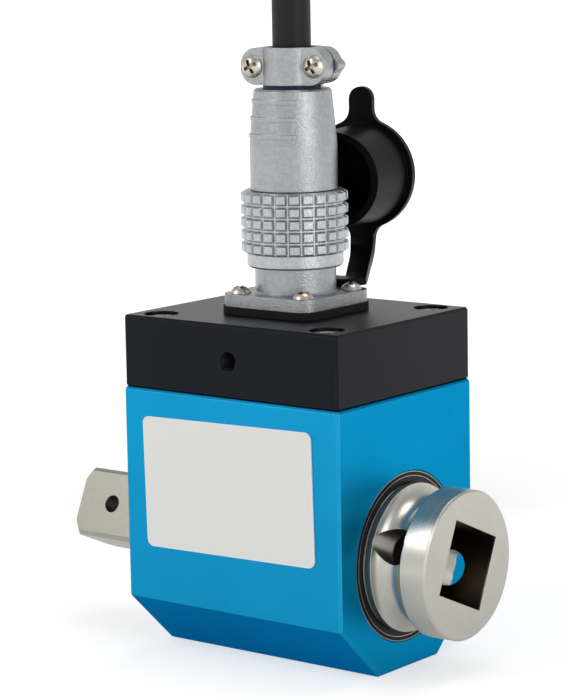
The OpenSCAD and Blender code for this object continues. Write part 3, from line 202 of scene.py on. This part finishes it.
def free_stretch():
    points = [Vector(p) for p in ROUTE]
    points = [2 * points[0] - points[1], *points, 2 * points[-1] - points[-2]]
    line = []
    for i in range(1, len(points) - 2):
        for s in range(STEPS_PER_SPAN):
            line.append(through(*points[i - 1:i + 3], s / STEPS_PER_SPAN))
    return line


def coil_stretch():
    line = []
    for i in range(COIL_TURNS * STEPS_PER_TURN + 1):
        turns = i / STEPS_PER_TURN
        angle = math.pi - turns * 2 * math.pi
        line.append(Vector((
            COIL_R * math.cos(angle),
            COIL_BACK + COIL_R * math.sin(angle),
            CABLE_D / MM / 2 + turns * CABLE_D / MM,
        )))
    return line


turn_cable = Matrix.Rotation(CABLE_TURN, 3, "Z")
cable_line = [turn_cable @ p * MM for p in free_stretch() + coil_stretch()]

# %% [markdown]
# The line becomes a tube: a curve with a round bevel, whose radius is set point by point so
# that the tube is as thick as the real cable. The curve stands in for the plain CAD solids of
# the cable, which stay hidden for collision.

# %% Cable curve
def round_curve(name, line, diameter, sides=8):
    """A round tube along a line of points."""
    curve = bpy.data.curves.new(name, "CURVE")
    curve.dimensions = "3D"
    curve.bevel_depth = 1.0
    curve.bevel_resolution = sides
    curve.use_fill_caps = True
    spline = curve.splines.new("POLY")
    spline.points.add(len(line) - 1)
    for point, place in zip(spline.points, line):
        point.co = (*place, 1)
        point.radius = diameter / 2
    spline.use_smooth = True
    piece = bpy.data.objects.new(name, curve)
    bpy.context.scene.collection.objects.link(piece)
    return piece


cable = round_curve("cable", cable_line, CABLE_D)
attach(cable, "body")
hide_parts("cable_riser", "cable_coil")

# %% [markdown]
# ## Studio
# The photo was taken on a white sweep under large soft lamps. The floor is a wide pale disc.
# Near the sensor it is a plain matt surface, so that it takes a soft shadow, and further out
# it fades to a white that the camera and the metal's reflections both see.

# %% Floor and world
FLOOR_R = 12.0
WHITE_FROM = 0.35
WHITE_TO = 1.6
MIRRORED_FROM = 0.06
MIRRORED_TO = 0.6

bpy.ops.mesh.primitive_circle_add(vertices=96, radius=FLOOR_R, fill_type="NGON", location=(0, 0, -0.0002))
floor = bpy.context.object
floor.name = "floor"
paper, tree, shader, place = new_material("white_paper_sweep")
shader.inputs["Base Color"].default_value = linear("#b4b4b4")
shader.inputs["Roughness"].default_value = 0.9
shader.inputs["Specular IOR Level"].default_value = 0.2
far = add(tree, "ShaderNodeVectorMath", {0: place}, operation="LENGTH")
rays = add(tree, "ShaderNodeLightPath")
to_eye = add(tree, "ShaderNodeMapRange", {
    "Value": far.outputs["Value"], "From Min": WHITE_FROM, "From Max": WHITE_TO,
    "To Min": 0.6, "To Max": 1.0,
})
to_metal = add(tree, "ShaderNodeMapRange", {
    "Value": far.outputs["Value"], "From Min": MIRRORED_FROM, "From Max": MIRRORED_TO,
    "To Min": 0.35, "To Max": 0.95,
})
eye = add(tree, "ShaderNodeMath", {
    0: rays.outputs["Is Camera Ray"], 1: to_eye.outputs[0],
}, operation="MULTIPLY")
bounced = add(tree, "ShaderNodeMath", {
    0: rays.outputs["Is Glossy Ray"], 1: rays.outputs["Is Transmission Ray"],
}, operation="MAXIMUM")
metal = add(tree, "ShaderNodeMath", {0: bounced.outputs[0], 1: to_metal.outputs[0]}, operation="MULTIPLY")
shown = add(tree, "ShaderNodeMath", {0: eye.outputs[0], 1: metal.outputs[0]}, operation="ADD")
shader.inputs["Emission Color"].default_value = (1, 1, 1, 1)
tree.links.new(shown.outputs[0], shader.inputs["Emission Strength"])
floor.data.materials.append(paper)

world = bpy.data.worlds.new("studio")
bpy.context.scene.world = world
world.use_nodes = True
tree = world.node_tree
background = tree.nodes["Background"]
rays = add(tree, "ShaderNodeLightPath")
where = add(tree, "ShaderNodeTexCoord").outputs["Generated"]
height = add(tree, "ShaderNodeSeparateXYZ", {0: where})
wall = add(tree, "ShaderNodeMapRange", {
    "Value": height.outputs["Z"], "From Min": 0.12, "From Max": 0.75, "To Min": 0.95, "To Max": 0.45,
})
level = add(tree, "ShaderNodeMix", {0: rays.outputs["Is Camera Ray"], 2: wall.outputs[0], 3: 1.0})
tree.links.new(level.outputs[0], background.inputs["Strength"])
background.inputs["Color"].default_value = linear("#ffffff")
print("floor and world:", floor.name, world.name)

# %% [markdown]
# Three square lamps stand in for the softboxes. The key lights the front face from the left,
# the fill keeps the end face with the square socket readable, and the top lamp draws the
# sheen on the cover. Their power is kept low, so that a colour renders about as written.

# %% Lamps
def softbox(name, place, target, size, power):
    """A square area lamp that faces the target."""
    light = bpy.data.lights.new(name, "AREA")
    light.shape = "RECTANGLE"
    light.size, light.size_y = size
    light.energy = power
    lamp = bpy.data.objects.new(name, light)
    lamp.location = place
    lamp.rotation_euler = (Vector(target) - Vector(place)).to_track_quat("-Z", "Y").to_euler()
    bpy.context.scene.collection.objects.link(lamp)


MIDDLE = (0, 0, 0.08)
softbox("key", (-0.5, -0.9, 0.95), MIDDLE, (0.7, 0.7), 6.2)
softbox("fill", (1.3, -0.3, 0.5), MIDDLE, (0.6, 0.9), 4.4)
softbox("top", (0.1, 0.3, 1.3), MIDDLE, (0.9, 0.6), 5.6)

# %% [markdown]
# ## Blue housing
# The housing is milled from a bar of aluminium, blasted to a fine satin and anodised blue.
# Anodising dyes a clear oxide skin on bare metal, so the surface reflects like metal but in
# its own colour. Blasting grit is about a tenth of a millimetre across, and its bump is drawn
# half a millimetre wide so that it shows. Corners, where the skin is thinner, are a little
# lighter. Broad, faint clouds keep the large faces from looking flat.

# %% Anodised aluminium
DYE_CLOUD_MM = 22


def anodised(name, colour, edge_colour, glancing, roughness, grit_mm, cloud=0.05):
    material, tree, shader, place = new_material(name)
    shader.inputs["Specular Tint"].default_value = linear(glancing)
    grit = add(tree, "ShaderNodeTexNoise", {"Vector": place, "Scale": per_mm(grit_mm), "Detail": 2.0})
    clouds = add(tree, "ShaderNodeTexNoise", {"Vector": place, "Scale": per_mm(DYE_CLOUD_MM), "Detail": 3.0})
    wear = edge_mask(tree, 0.5)
    worn = blend_colours(tree, wear, colour, edge_colour)
    tone = add(tree, "ShaderNodeMapRange", {
        "Value": clouds.outputs[0], "From Min": 0.3, "From Max": 0.7,
        "To Min": 1 - cloud, "To Max": 1 + cloud,
    })
    shade = add(tree, "ShaderNodeVectorMath", {0: worn, "Scale": tone.outputs[0]}, operation="SCALE")
    tree.links.new(shade.outputs[0], shader.inputs["Base Color"])
    shader.inputs["Metallic"].default_value = 1.0
    satin = add(tree, "ShaderNodeMapRange", {
        "Value": grit.outputs[0], "From Min": 0.3, "From Max": 0.7,
        "To Min": roughness - 0.05, "To Max": roughness + 0.05,
    })
    tree.links.new(satin.outputs[0], shader.inputs["Roughness"])
    tree.links.new(bumped(tree, grit.outputs[0], 0.7, 0.05, 0.25), shader.inputs["Normal"])
    return material


blue_anodised = anodised("blue_anodised_aluminium", "#1992c2", "#30a3cd", "#3d8fc0", 0.4, 0.5)
dress(blue_anodised, "housing")
black_anodised = anodised("black_anodised_aluminium", "#1e1f23", "#292a2e", "#ffffff", 0.38, 0.3)
dress(black_anodised, "top_cover")

# %% [markdown]
# ## Thread in the cover
# The hole in the cover's front wall is tapped M5. A tap cuts one groove that winds down the
# wall, so what shows is a helical ridge. The ridge is a triangle in section, and sweeping its
# three corners round the hole while they move inwards by one pitch a turn gives the thread.
# The mouth is where the hole's axis meets the cover's front face in the CAD model.

# %% Tapped thread
THREAD_MOUTH = Vector((0, -29, 80.5)) * MM
THREAD_D = 5 * MM
THREAD_PITCH = 0.8 * MM
THREAD_RISE = 0.4 * MM
THREAD_DEPTH = 7 * MM
THREAD_STEPS = 36


def thread_ridge(name):
    """A helical ridge on the wall of a hole that runs in along +Y."""
    corners = ((THREAD_D / 2, 0), (THREAD_D / 2 - THREAD_RISE, 0.5), (THREAD_D / 2, 1))
    turns = int(THREAD_DEPTH / THREAD_PITCH) - 1
    points = []
    for i in range(turns * THREAD_STEPS + 1):
        angle = 2 * math.pi * i / THREAD_STEPS
        for radius, share in corners:
            inward = THREAD_PITCH * (i / THREAD_STEPS + share)
            points.append(THREAD_MOUTH + Vector((radius * math.cos(angle), inward, radius * math.sin(angle))))
    faces = []
    for i in range(0, len(points) - 3, 3):
        faces.append((i, i + 3, i + 4, i + 1))
        faces.append((i + 1, i + 4, i + 5, i + 2))
    mesh = bpy.data.meshes.new(name)
    mesh.from_pydata(points, [], faces)
    piece = bpy.data.objects.new(name, mesh)
    bpy.context.scene.collection.objects.link(piece)
    print(name, "turns:", turns, "faces:", len(faces))
    return piece


cover_thread = thread_ridge("cover_thread")
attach(cover_thread, "body")
cut_thread = anodised("anodised_cut_thread", "#1a1b1e", "#2b2c30", "#8a8a8c", 0.4, 0.3)
cover_thread.data.materials.append(cut_thread)

# %% [markdown]
# ## Label
# The plate on the front is a satin plastic foil. It is bare here. Its cut edge is painted whiter
# than its face as a painted highlight, and a very fine grain breaks up its sheen.

# %% Label foil
label_foil, tree, shader, place = new_material("label_foil")
grain = add(tree, "ShaderNodeTexNoise", {"Vector": place, "Scale": per_mm(0.5), "Detail": 3.0})
# the edge colour is whiter than the face: a painted highlight on the cut edge
tree.links.new(blend_colours(tree, edge_mask(tree, 0.3), "#e8e9e6", "#fafaf8"), shader.inputs["Base Color"])
shader.inputs["Roughness"].default_value = 0.5
tree.links.new(bumped(tree, grain.outputs[0], 0.15, 0.02), shader.inputs["Normal"])
dress(label_foil, "label")

# %% [markdown]
# ## Turned steel
# The shaft is turned from alloy steel, so its surface carries fine rings about the shaft's
# axis. A noise that knows only the distance from the axis and the place along it gives rings
# on the flat faces and on the cylinders alike. The real rings are a tenth of a millimetre
# apart, and they are drawn twice as coarse so that they show. The male square is milled and
# duller than the turned head, so the tone can change along the axis.

# %% Turned metal
SHAFT_Z = 29 * MM
STEEL_CLOUD_MM = 6
MILLED_END = -30 * MM
TURNED_END = 30 * MM


def turned(name, colour, dark, roughness, ring_mm, strength=0.15, inside=None, dull_end=None):
    material, tree, shader, place = new_material(name)
    shifted = add(tree, "ShaderNodeVectorMath", {0: place, 1: (0, 0, SHAFT_Z)}, operation="SUBTRACT")
    parts = add(tree, "ShaderNodeSeparateXYZ", {0: shifted.outputs[0]})
    across = add(tree, "ShaderNodeCombineXYZ", {"Y": parts.outputs["Y"], "Z": parts.outputs["Z"]})
    radius = add(tree, "ShaderNodeVectorMath", {0: across.outputs[0]}, operation="LENGTH")
    ring_place = add(tree, "ShaderNodeCombineXYZ", {"X": parts.outputs["X"], "Y": radius.outputs["Value"]})
    rings = add(tree, "ShaderNodeTexNoise", {
        "Vector": ring_place.outputs[0], "Scale": per_mm(ring_mm), "Detail": 2.0,
    })
    clouds = add(tree, "ShaderNodeTexNoise", {
        "Vector": place, "Scale": per_mm(STEEL_CLOUD_MM), "Detail": 6.0,
    })
    tone = blend_colours(tree, clouds.outputs[0], dark, colour)
    if dull_end:
        along = add(tree, "ShaderNodeMapRange", {
            "Value": parts.outputs["X"], "From Min": MILLED_END, "From Max": TURNED_END,
            "To Min": 1.0, "To Max": 0.0,
        })
        tone = blend_colours(tree, along.outputs[0], tone, dull_end)
    if inside:
        # the socket's walls and floor get a brown-black: painted shade of the hollow
        tone = blend_colours(tree, inside(tree, shifted.outputs[0]), tone, "#57463a")
    tree.links.new(tone, shader.inputs["Base Color"])
    shader.inputs["Metallic"].default_value = 1.0
    satin = add(tree, "ShaderNodeMapRange", {
        "Value": rings.outputs[0], "From Min": 0.3, "From Max": 0.7,
        "To Min": roughness - 0.06, "To Max": roughness + 0.06,
    })
    tree.links.new(satin.outputs[0], shader.inputs["Roughness"])
    tree.links.new(bumped(tree, rings.outputs[0], strength, 0.02, 0.2), shader.inputs["Normal"])
    return material


# %% [markdown]
# The square socket is broached. Its walls and floor are painted brown-black, which is painted
# shade of the deep hollow. A mask picks out the space inside the square, in axes that are turned
# with it, and lays the brown-black there.

# %% Shaft
DRIVE_TURN = math.radians(23.75)
SOCKET_HALF = 9.85 * MM
SOCKET_FROM = 27 * MM
SOCKET_TO = 53.35 * MM


def socket_shade_mask(tree, shifted):
    """1 on the walls and floor of the square socket, from a place about the shaft's axis."""
    turned_place = add(tree, "ShaderNodeVectorRotate", {
        "Vector": shifted, "Axis": (1, 0, 0), "Angle": DRIVE_TURN,
    }, rotation_type="AXIS_ANGLE")
    parts = add(tree, "ShaderNodeSeparateXYZ", {0: turned_place.outputs[0]})
    side = add(tree, "ShaderNodeMath", {0: parts.outputs["Y"]}, operation="ABSOLUTE")
    rise = add(tree, "ShaderNodeMath", {0: parts.outputs["Z"]}, operation="ABSOLUTE")
    reach = add(tree, "ShaderNodeMath", {0: side.outputs[0], 1: rise.outputs[0]}, operation="MAXIMUM")
    square = add(tree, "ShaderNodeMath", {0: reach.outputs[0], 1: SOCKET_HALF}, operation="LESS_THAN")
    deep = add(tree, "ShaderNodeMapRange", {
        "Value": parts.outputs["X"], "From Min": SOCKET_TO, "From Max": SOCKET_TO - 0.5 * MM,
    })
    behind = add(tree, "ShaderNodeMath", {0: parts.outputs["X"], 1: SOCKET_FROM}, operation="GREATER_THAN")
    inner = add(tree, "ShaderNodeMath", {0: square.outputs[0], 1: deep.outputs[0]}, operation="MULTIPLY")
    walls = add(tree, "ShaderNodeMath", {0: inner.outputs[0], 1: behind.outputs[0]}, operation="MULTIPLY")
    return walls.outputs[0]


shaft_steel = turned(
    "turned_shaft_steel", "#c6c4bb", "#b8b6ac", 0.32, 0.2,
    strength=0.05, inside=socket_shade_mask, dull_end="#a9a79c",
)
dress(shaft_steel, "torsion_shaft")
bearing_steel = turned("ground_bearing_steel", "#cfd2d4", "#bcc0c3", 0.2, 0.25)
dress(bearing_steel, "bearing_a_inner", "bearing_b_inner", "bearing_a_balls", "bearing_b_balls")


# %% [markdown]
# The bearings' outer rings show in the mouths of the bore. Their faces are black-oxidised, and
# their edges are painted near white, a painted highlight that draws thin light lines round them.

# %% Black-oxidised rings
def oxidised(name, skin, edge_highlight, roughness, grain_mm, highlight_mm):
    material, tree, shader, place = new_material(name)
    grain = add(tree, "ShaderNodeTexNoise", {"Vector": place, "Scale": per_mm(grain_mm), "Detail": 3.0})
    # the edges get a near-white colour: a painted highlight
    highlight_edges = edge_mask(tree, highlight_mm)
    tree.links.new(blend_colours(tree, highlight_edges, skin, edge_highlight), shader.inputs["Base Color"])
    shader.inputs["Metallic"].default_value = 1.0
    shader.inputs["Roughness"].default_value = roughness
    tree.links.new(bumped(tree, grain.outputs[0], 0.2, 0.02, 0.15), shader.inputs["Normal"])
    return material


oxide_ring = oxidised("black_oxide_bearing_ring", "#1f1b19", "#d8d4ca", 0.3, 0.3, 0.5)
dress(oxide_ring, "bearing_a_outer", "bearing_b_outer")

# %% [markdown]
# The cages, the spacers and the circlip are turned or stamped pieces on the same axis, so the
# turned finish serves them in brass, aluminium and spring steel.

# %% Turned pieces inside
cage_brass = turned("turned_cage_brass", "#c79d4d", "#a8813a", 0.35, 0.3)
dress(cage_brass, "bearing_a_cage", "bearing_b_cage")
spacer_alloy = turned("turned_spacer_aluminium", "#c2c6ca", "#a9aeb2", 0.35, 0.3)
dress(spacer_alloy, "spacers")
spring_steel = turned("black_spring_steel", "#5a5b5e", "#3c3d40", 0.4, 0.3)
dress(spring_steel, "shaft_circlip")

# %% [markdown]
# ## Die-cast connector
# The receptacle, the coupling ring, the backshell and the clamp are zinc castings with a matt
# nickel skin. A casting keeps the fine grain of its mould, so the bump is a soft noise about
# half a millimetre across, and the sheen is broad.

# %% Cast nickel
CAST_CLOUD_MM = 1.3


def cast(name, colour, dark, roughness, grain_mm, strength, depth_mm=0.08):
    material, tree, shader, place = new_material(name)
    grain = add(tree, "ShaderNodeTexNoise", {"Vector": place, "Scale": per_mm(grain_mm), "Detail": 3.0})
    blotch = add(tree, "ShaderNodeTexNoise", {"Vector": place, "Scale": per_mm(CAST_CLOUD_MM), "Detail": 4.0})
    tree.links.new(blend_colours(tree, blotch.outputs[0], dark, colour), shader.inputs["Base Color"])
    shader.inputs["Metallic"].default_value = 1.0
    shader.inputs["Roughness"].default_value = roughness
    tree.links.new(bumped(tree, grain.outputs[0], strength, depth_mm, 0.2), shader.inputs["Normal"])
    return material


cast_nickel = cast("matt_nickel_casting", "#adb0b2", "#8d9092", 0.35, 0.45, 1.0, 0.13)
dress(cast_nickel, "receptacle_shell", "plug_shell", "backshell", "front_saddle")
ring_nickel = cast("matt_nickel_ring", "#c3c6c8", "#95989b", 0.33, 0.6, 1.0, 0.15)
dress(ring_nickel, "coupling_ring")

# %% [markdown]
# The small screws are plated steel, a warmer silver than the castings. Their recesses are painted
# a darker brown where ambient occlusion is low, which is painted shade.

# %% Screws
def screw_finish(name, colour, recess_shade, roughness, recess_mm):
    material, tree, shader, place = new_material(name)
    scuffs = add(tree, "ShaderNodeTexNoise", {"Vector": place, "Scale": per_mm(0.8), "Detail": 3.0})
    open_air = add(tree, "ShaderNodeAmbientOcclusion", {"Distance": recess_mm * MM}, samples=8)
    unshaded = add(tree, "ShaderNodeMapRange", {
        "Value": open_air.outputs["AO"], "From Min": 0.45, "From Max": 0.85,
    })
    # recesses, where ambient occlusion is low, get a darker brown: painted shade
    tree.links.new(blend_colours(tree, unshaded.outputs[0], recess_shade, colour), shader.inputs["Base Color"])
    shader.inputs["Metallic"].default_value = 1.0
    satin = add(tree, "ShaderNodeMapRange", {
        "Value": scuffs.outputs[0], "From Min": 0.3, "From Max": 0.7,
        "To Min": roughness - 0.08, "To Max": roughness + 0.1,
    })
    tree.links.new(satin.outputs[0], shader.inputs["Roughness"])
    tree.links.new(bumped(tree, scuffs.outputs[0], 0.2, 0.03, 0.15), shader.inputs["Normal"])
    return material


screw_nickel = screw_finish("nickel_plated_screw", "#c2bdb0", "#4a3a2c", 0.32, 1.2)
dress(screw_nickel, "cover_screws", "flange_screws", "clamp_screws", "board_screws")

# %% [markdown]
# The pieces inside are seen only when the sensor is taken apart. The cores are pressed and
# sintered iron, the contacts are gold-plated brass and the ferrules are tinned, so they are
# the same kind of finish with other colours.

# %% Other cast and plated pieces
core_iron = cast("sintered_core_iron", "#4a4c50", "#35373b", 0.5, 0.4, 0.3)
dress(core_iron, "rotor_core", "stator_core")
contact_gold = cast("gold_plated_contact", "#e6c35e", "#cda545", 0.25, 0.6, 0.05)
dress(contact_gold, "receptacle_pins", "plug_contacts")
tinned = cast("tinned_ferrule", "#d0d2d4", "#b4b7ba", 0.3, 0.4, 0.1)
dress(tinned, "lead_ferrules")


# %% [markdown]
# ## Rubber and plastic
# The gasket, the grommet, the dust cap and the seals are moulded rubber: dark, a little
# lighter where they catch a glancing light, with a soft grain. The cable's PVC jacket is
# smoother and glossier, and the inserts, the board and the leads are small moulded parts.

# %% Moulded parts
RUBBER_CLOUD_MM = 5


def moulded(name, colour, light, roughness, grain_mm, strength, edge_mm=0.2, shine=0.5):
    material, tree, shader, place = new_material(name)
    shader.inputs["Specular IOR Level"].default_value = shine
    grain = add(tree, "ShaderNodeTexNoise", {"Vector": place, "Scale": per_mm(grain_mm), "Detail": 3.0})
    blotch = add(tree, "ShaderNodeTexNoise", {
        "Vector": place, "Scale": per_mm(RUBBER_CLOUD_MM), "Detail": 3.0,
    })
    tree.links.new(blend_colours(tree, blotch.outputs[0], colour, light), shader.inputs["Base Color"])
    shader.inputs["Roughness"].default_value = roughness
    tree.links.new(bumped(tree, grain.outputs[0], strength, 0.06, edge_mm), shader.inputs["Normal"])
    return material


gasket_rubber = moulded("gasket_rubber", "#090a0c", "#121315", 0.75, 0.4, 0.5, shine=0.2)
dress(gasket_rubber, "receptacle_gasket")
seal_rubber = moulded("seal_rubber", "#0d0c0c", "#171514", 0.5, 0.4, 0.2, shine=0.3)
dress(seal_rubber, "bearing_a_seals", "bearing_b_seals")
grommet_rubber = moulded("grommet_rubber", "#10112a", "#191a36", 0.5, 0.5, 0.2, shine=0.3)
dress(grommet_rubber, "grommet")
cap_rubber = moulded("dust_cap_rubber", "#050507", "#09090b", 0.38, 0.4, 0.2, 0.4, shine=0.07)
dress(cap_rubber, "dust_cap")
jacket_pvc = moulded("cable_jacket_pvc", "#0e0e10", "#151517", 0.5, 0.7, 0.3, 0.0, shine=0.25)
cable.data.materials.append(jacket_pvc)
dress(jacket_pvc, "cable_riser", "cable_coil")
insert_plastic = moulded("insert_plastic", "#28303c", "#323b49", 0.45, 0.5, 0.1)
dress(insert_plastic, "receptacle_insert", "plug_insert")
board_laminate = moulded("board_laminate", "#1b5336", "#236643", 0.35, 0.8, 0.1)
dress(board_laminate, "main_board", "rotor_board")
chip_plastic = moulded("chip_plastic", "#1d1f22", "#28292d", 0.5, 0.5, 0.2)
dress(chip_plastic, "board_parts")
copper_wire = moulded("enamelled_copper_winding", "#a85a25", "#c06a30", 0.3, 0.3, 0.5)
dress(copper_wire, "rotor_coil", "stator_coil")
gauge_foil = moulded("strain_gauge_foil", "#bd8432", "#cf983f", 0.35, 0.5, 0.1)
dress(gauge_foil, "strain_gauges")
red_lead = moulded("red_lead_insulation", "#86281f", "#983026", 0.4, 0.5, 0.1)
dress(red_lead, "stator_leads")
white_lead = moulded("white_lead_insulation", "#cfcabd", "#dedacf", 0.4, 0.5, 0.1)
dress(white_lead, "signal_leads", "cable_leads")
tie_nylon = moulded("tie_nylon", "#0d0e10", "#141517", 0.4, 0.5, 0.1, shine=0.3)
dress(tie_nylon, "cable_ties", "cable_sleeve")
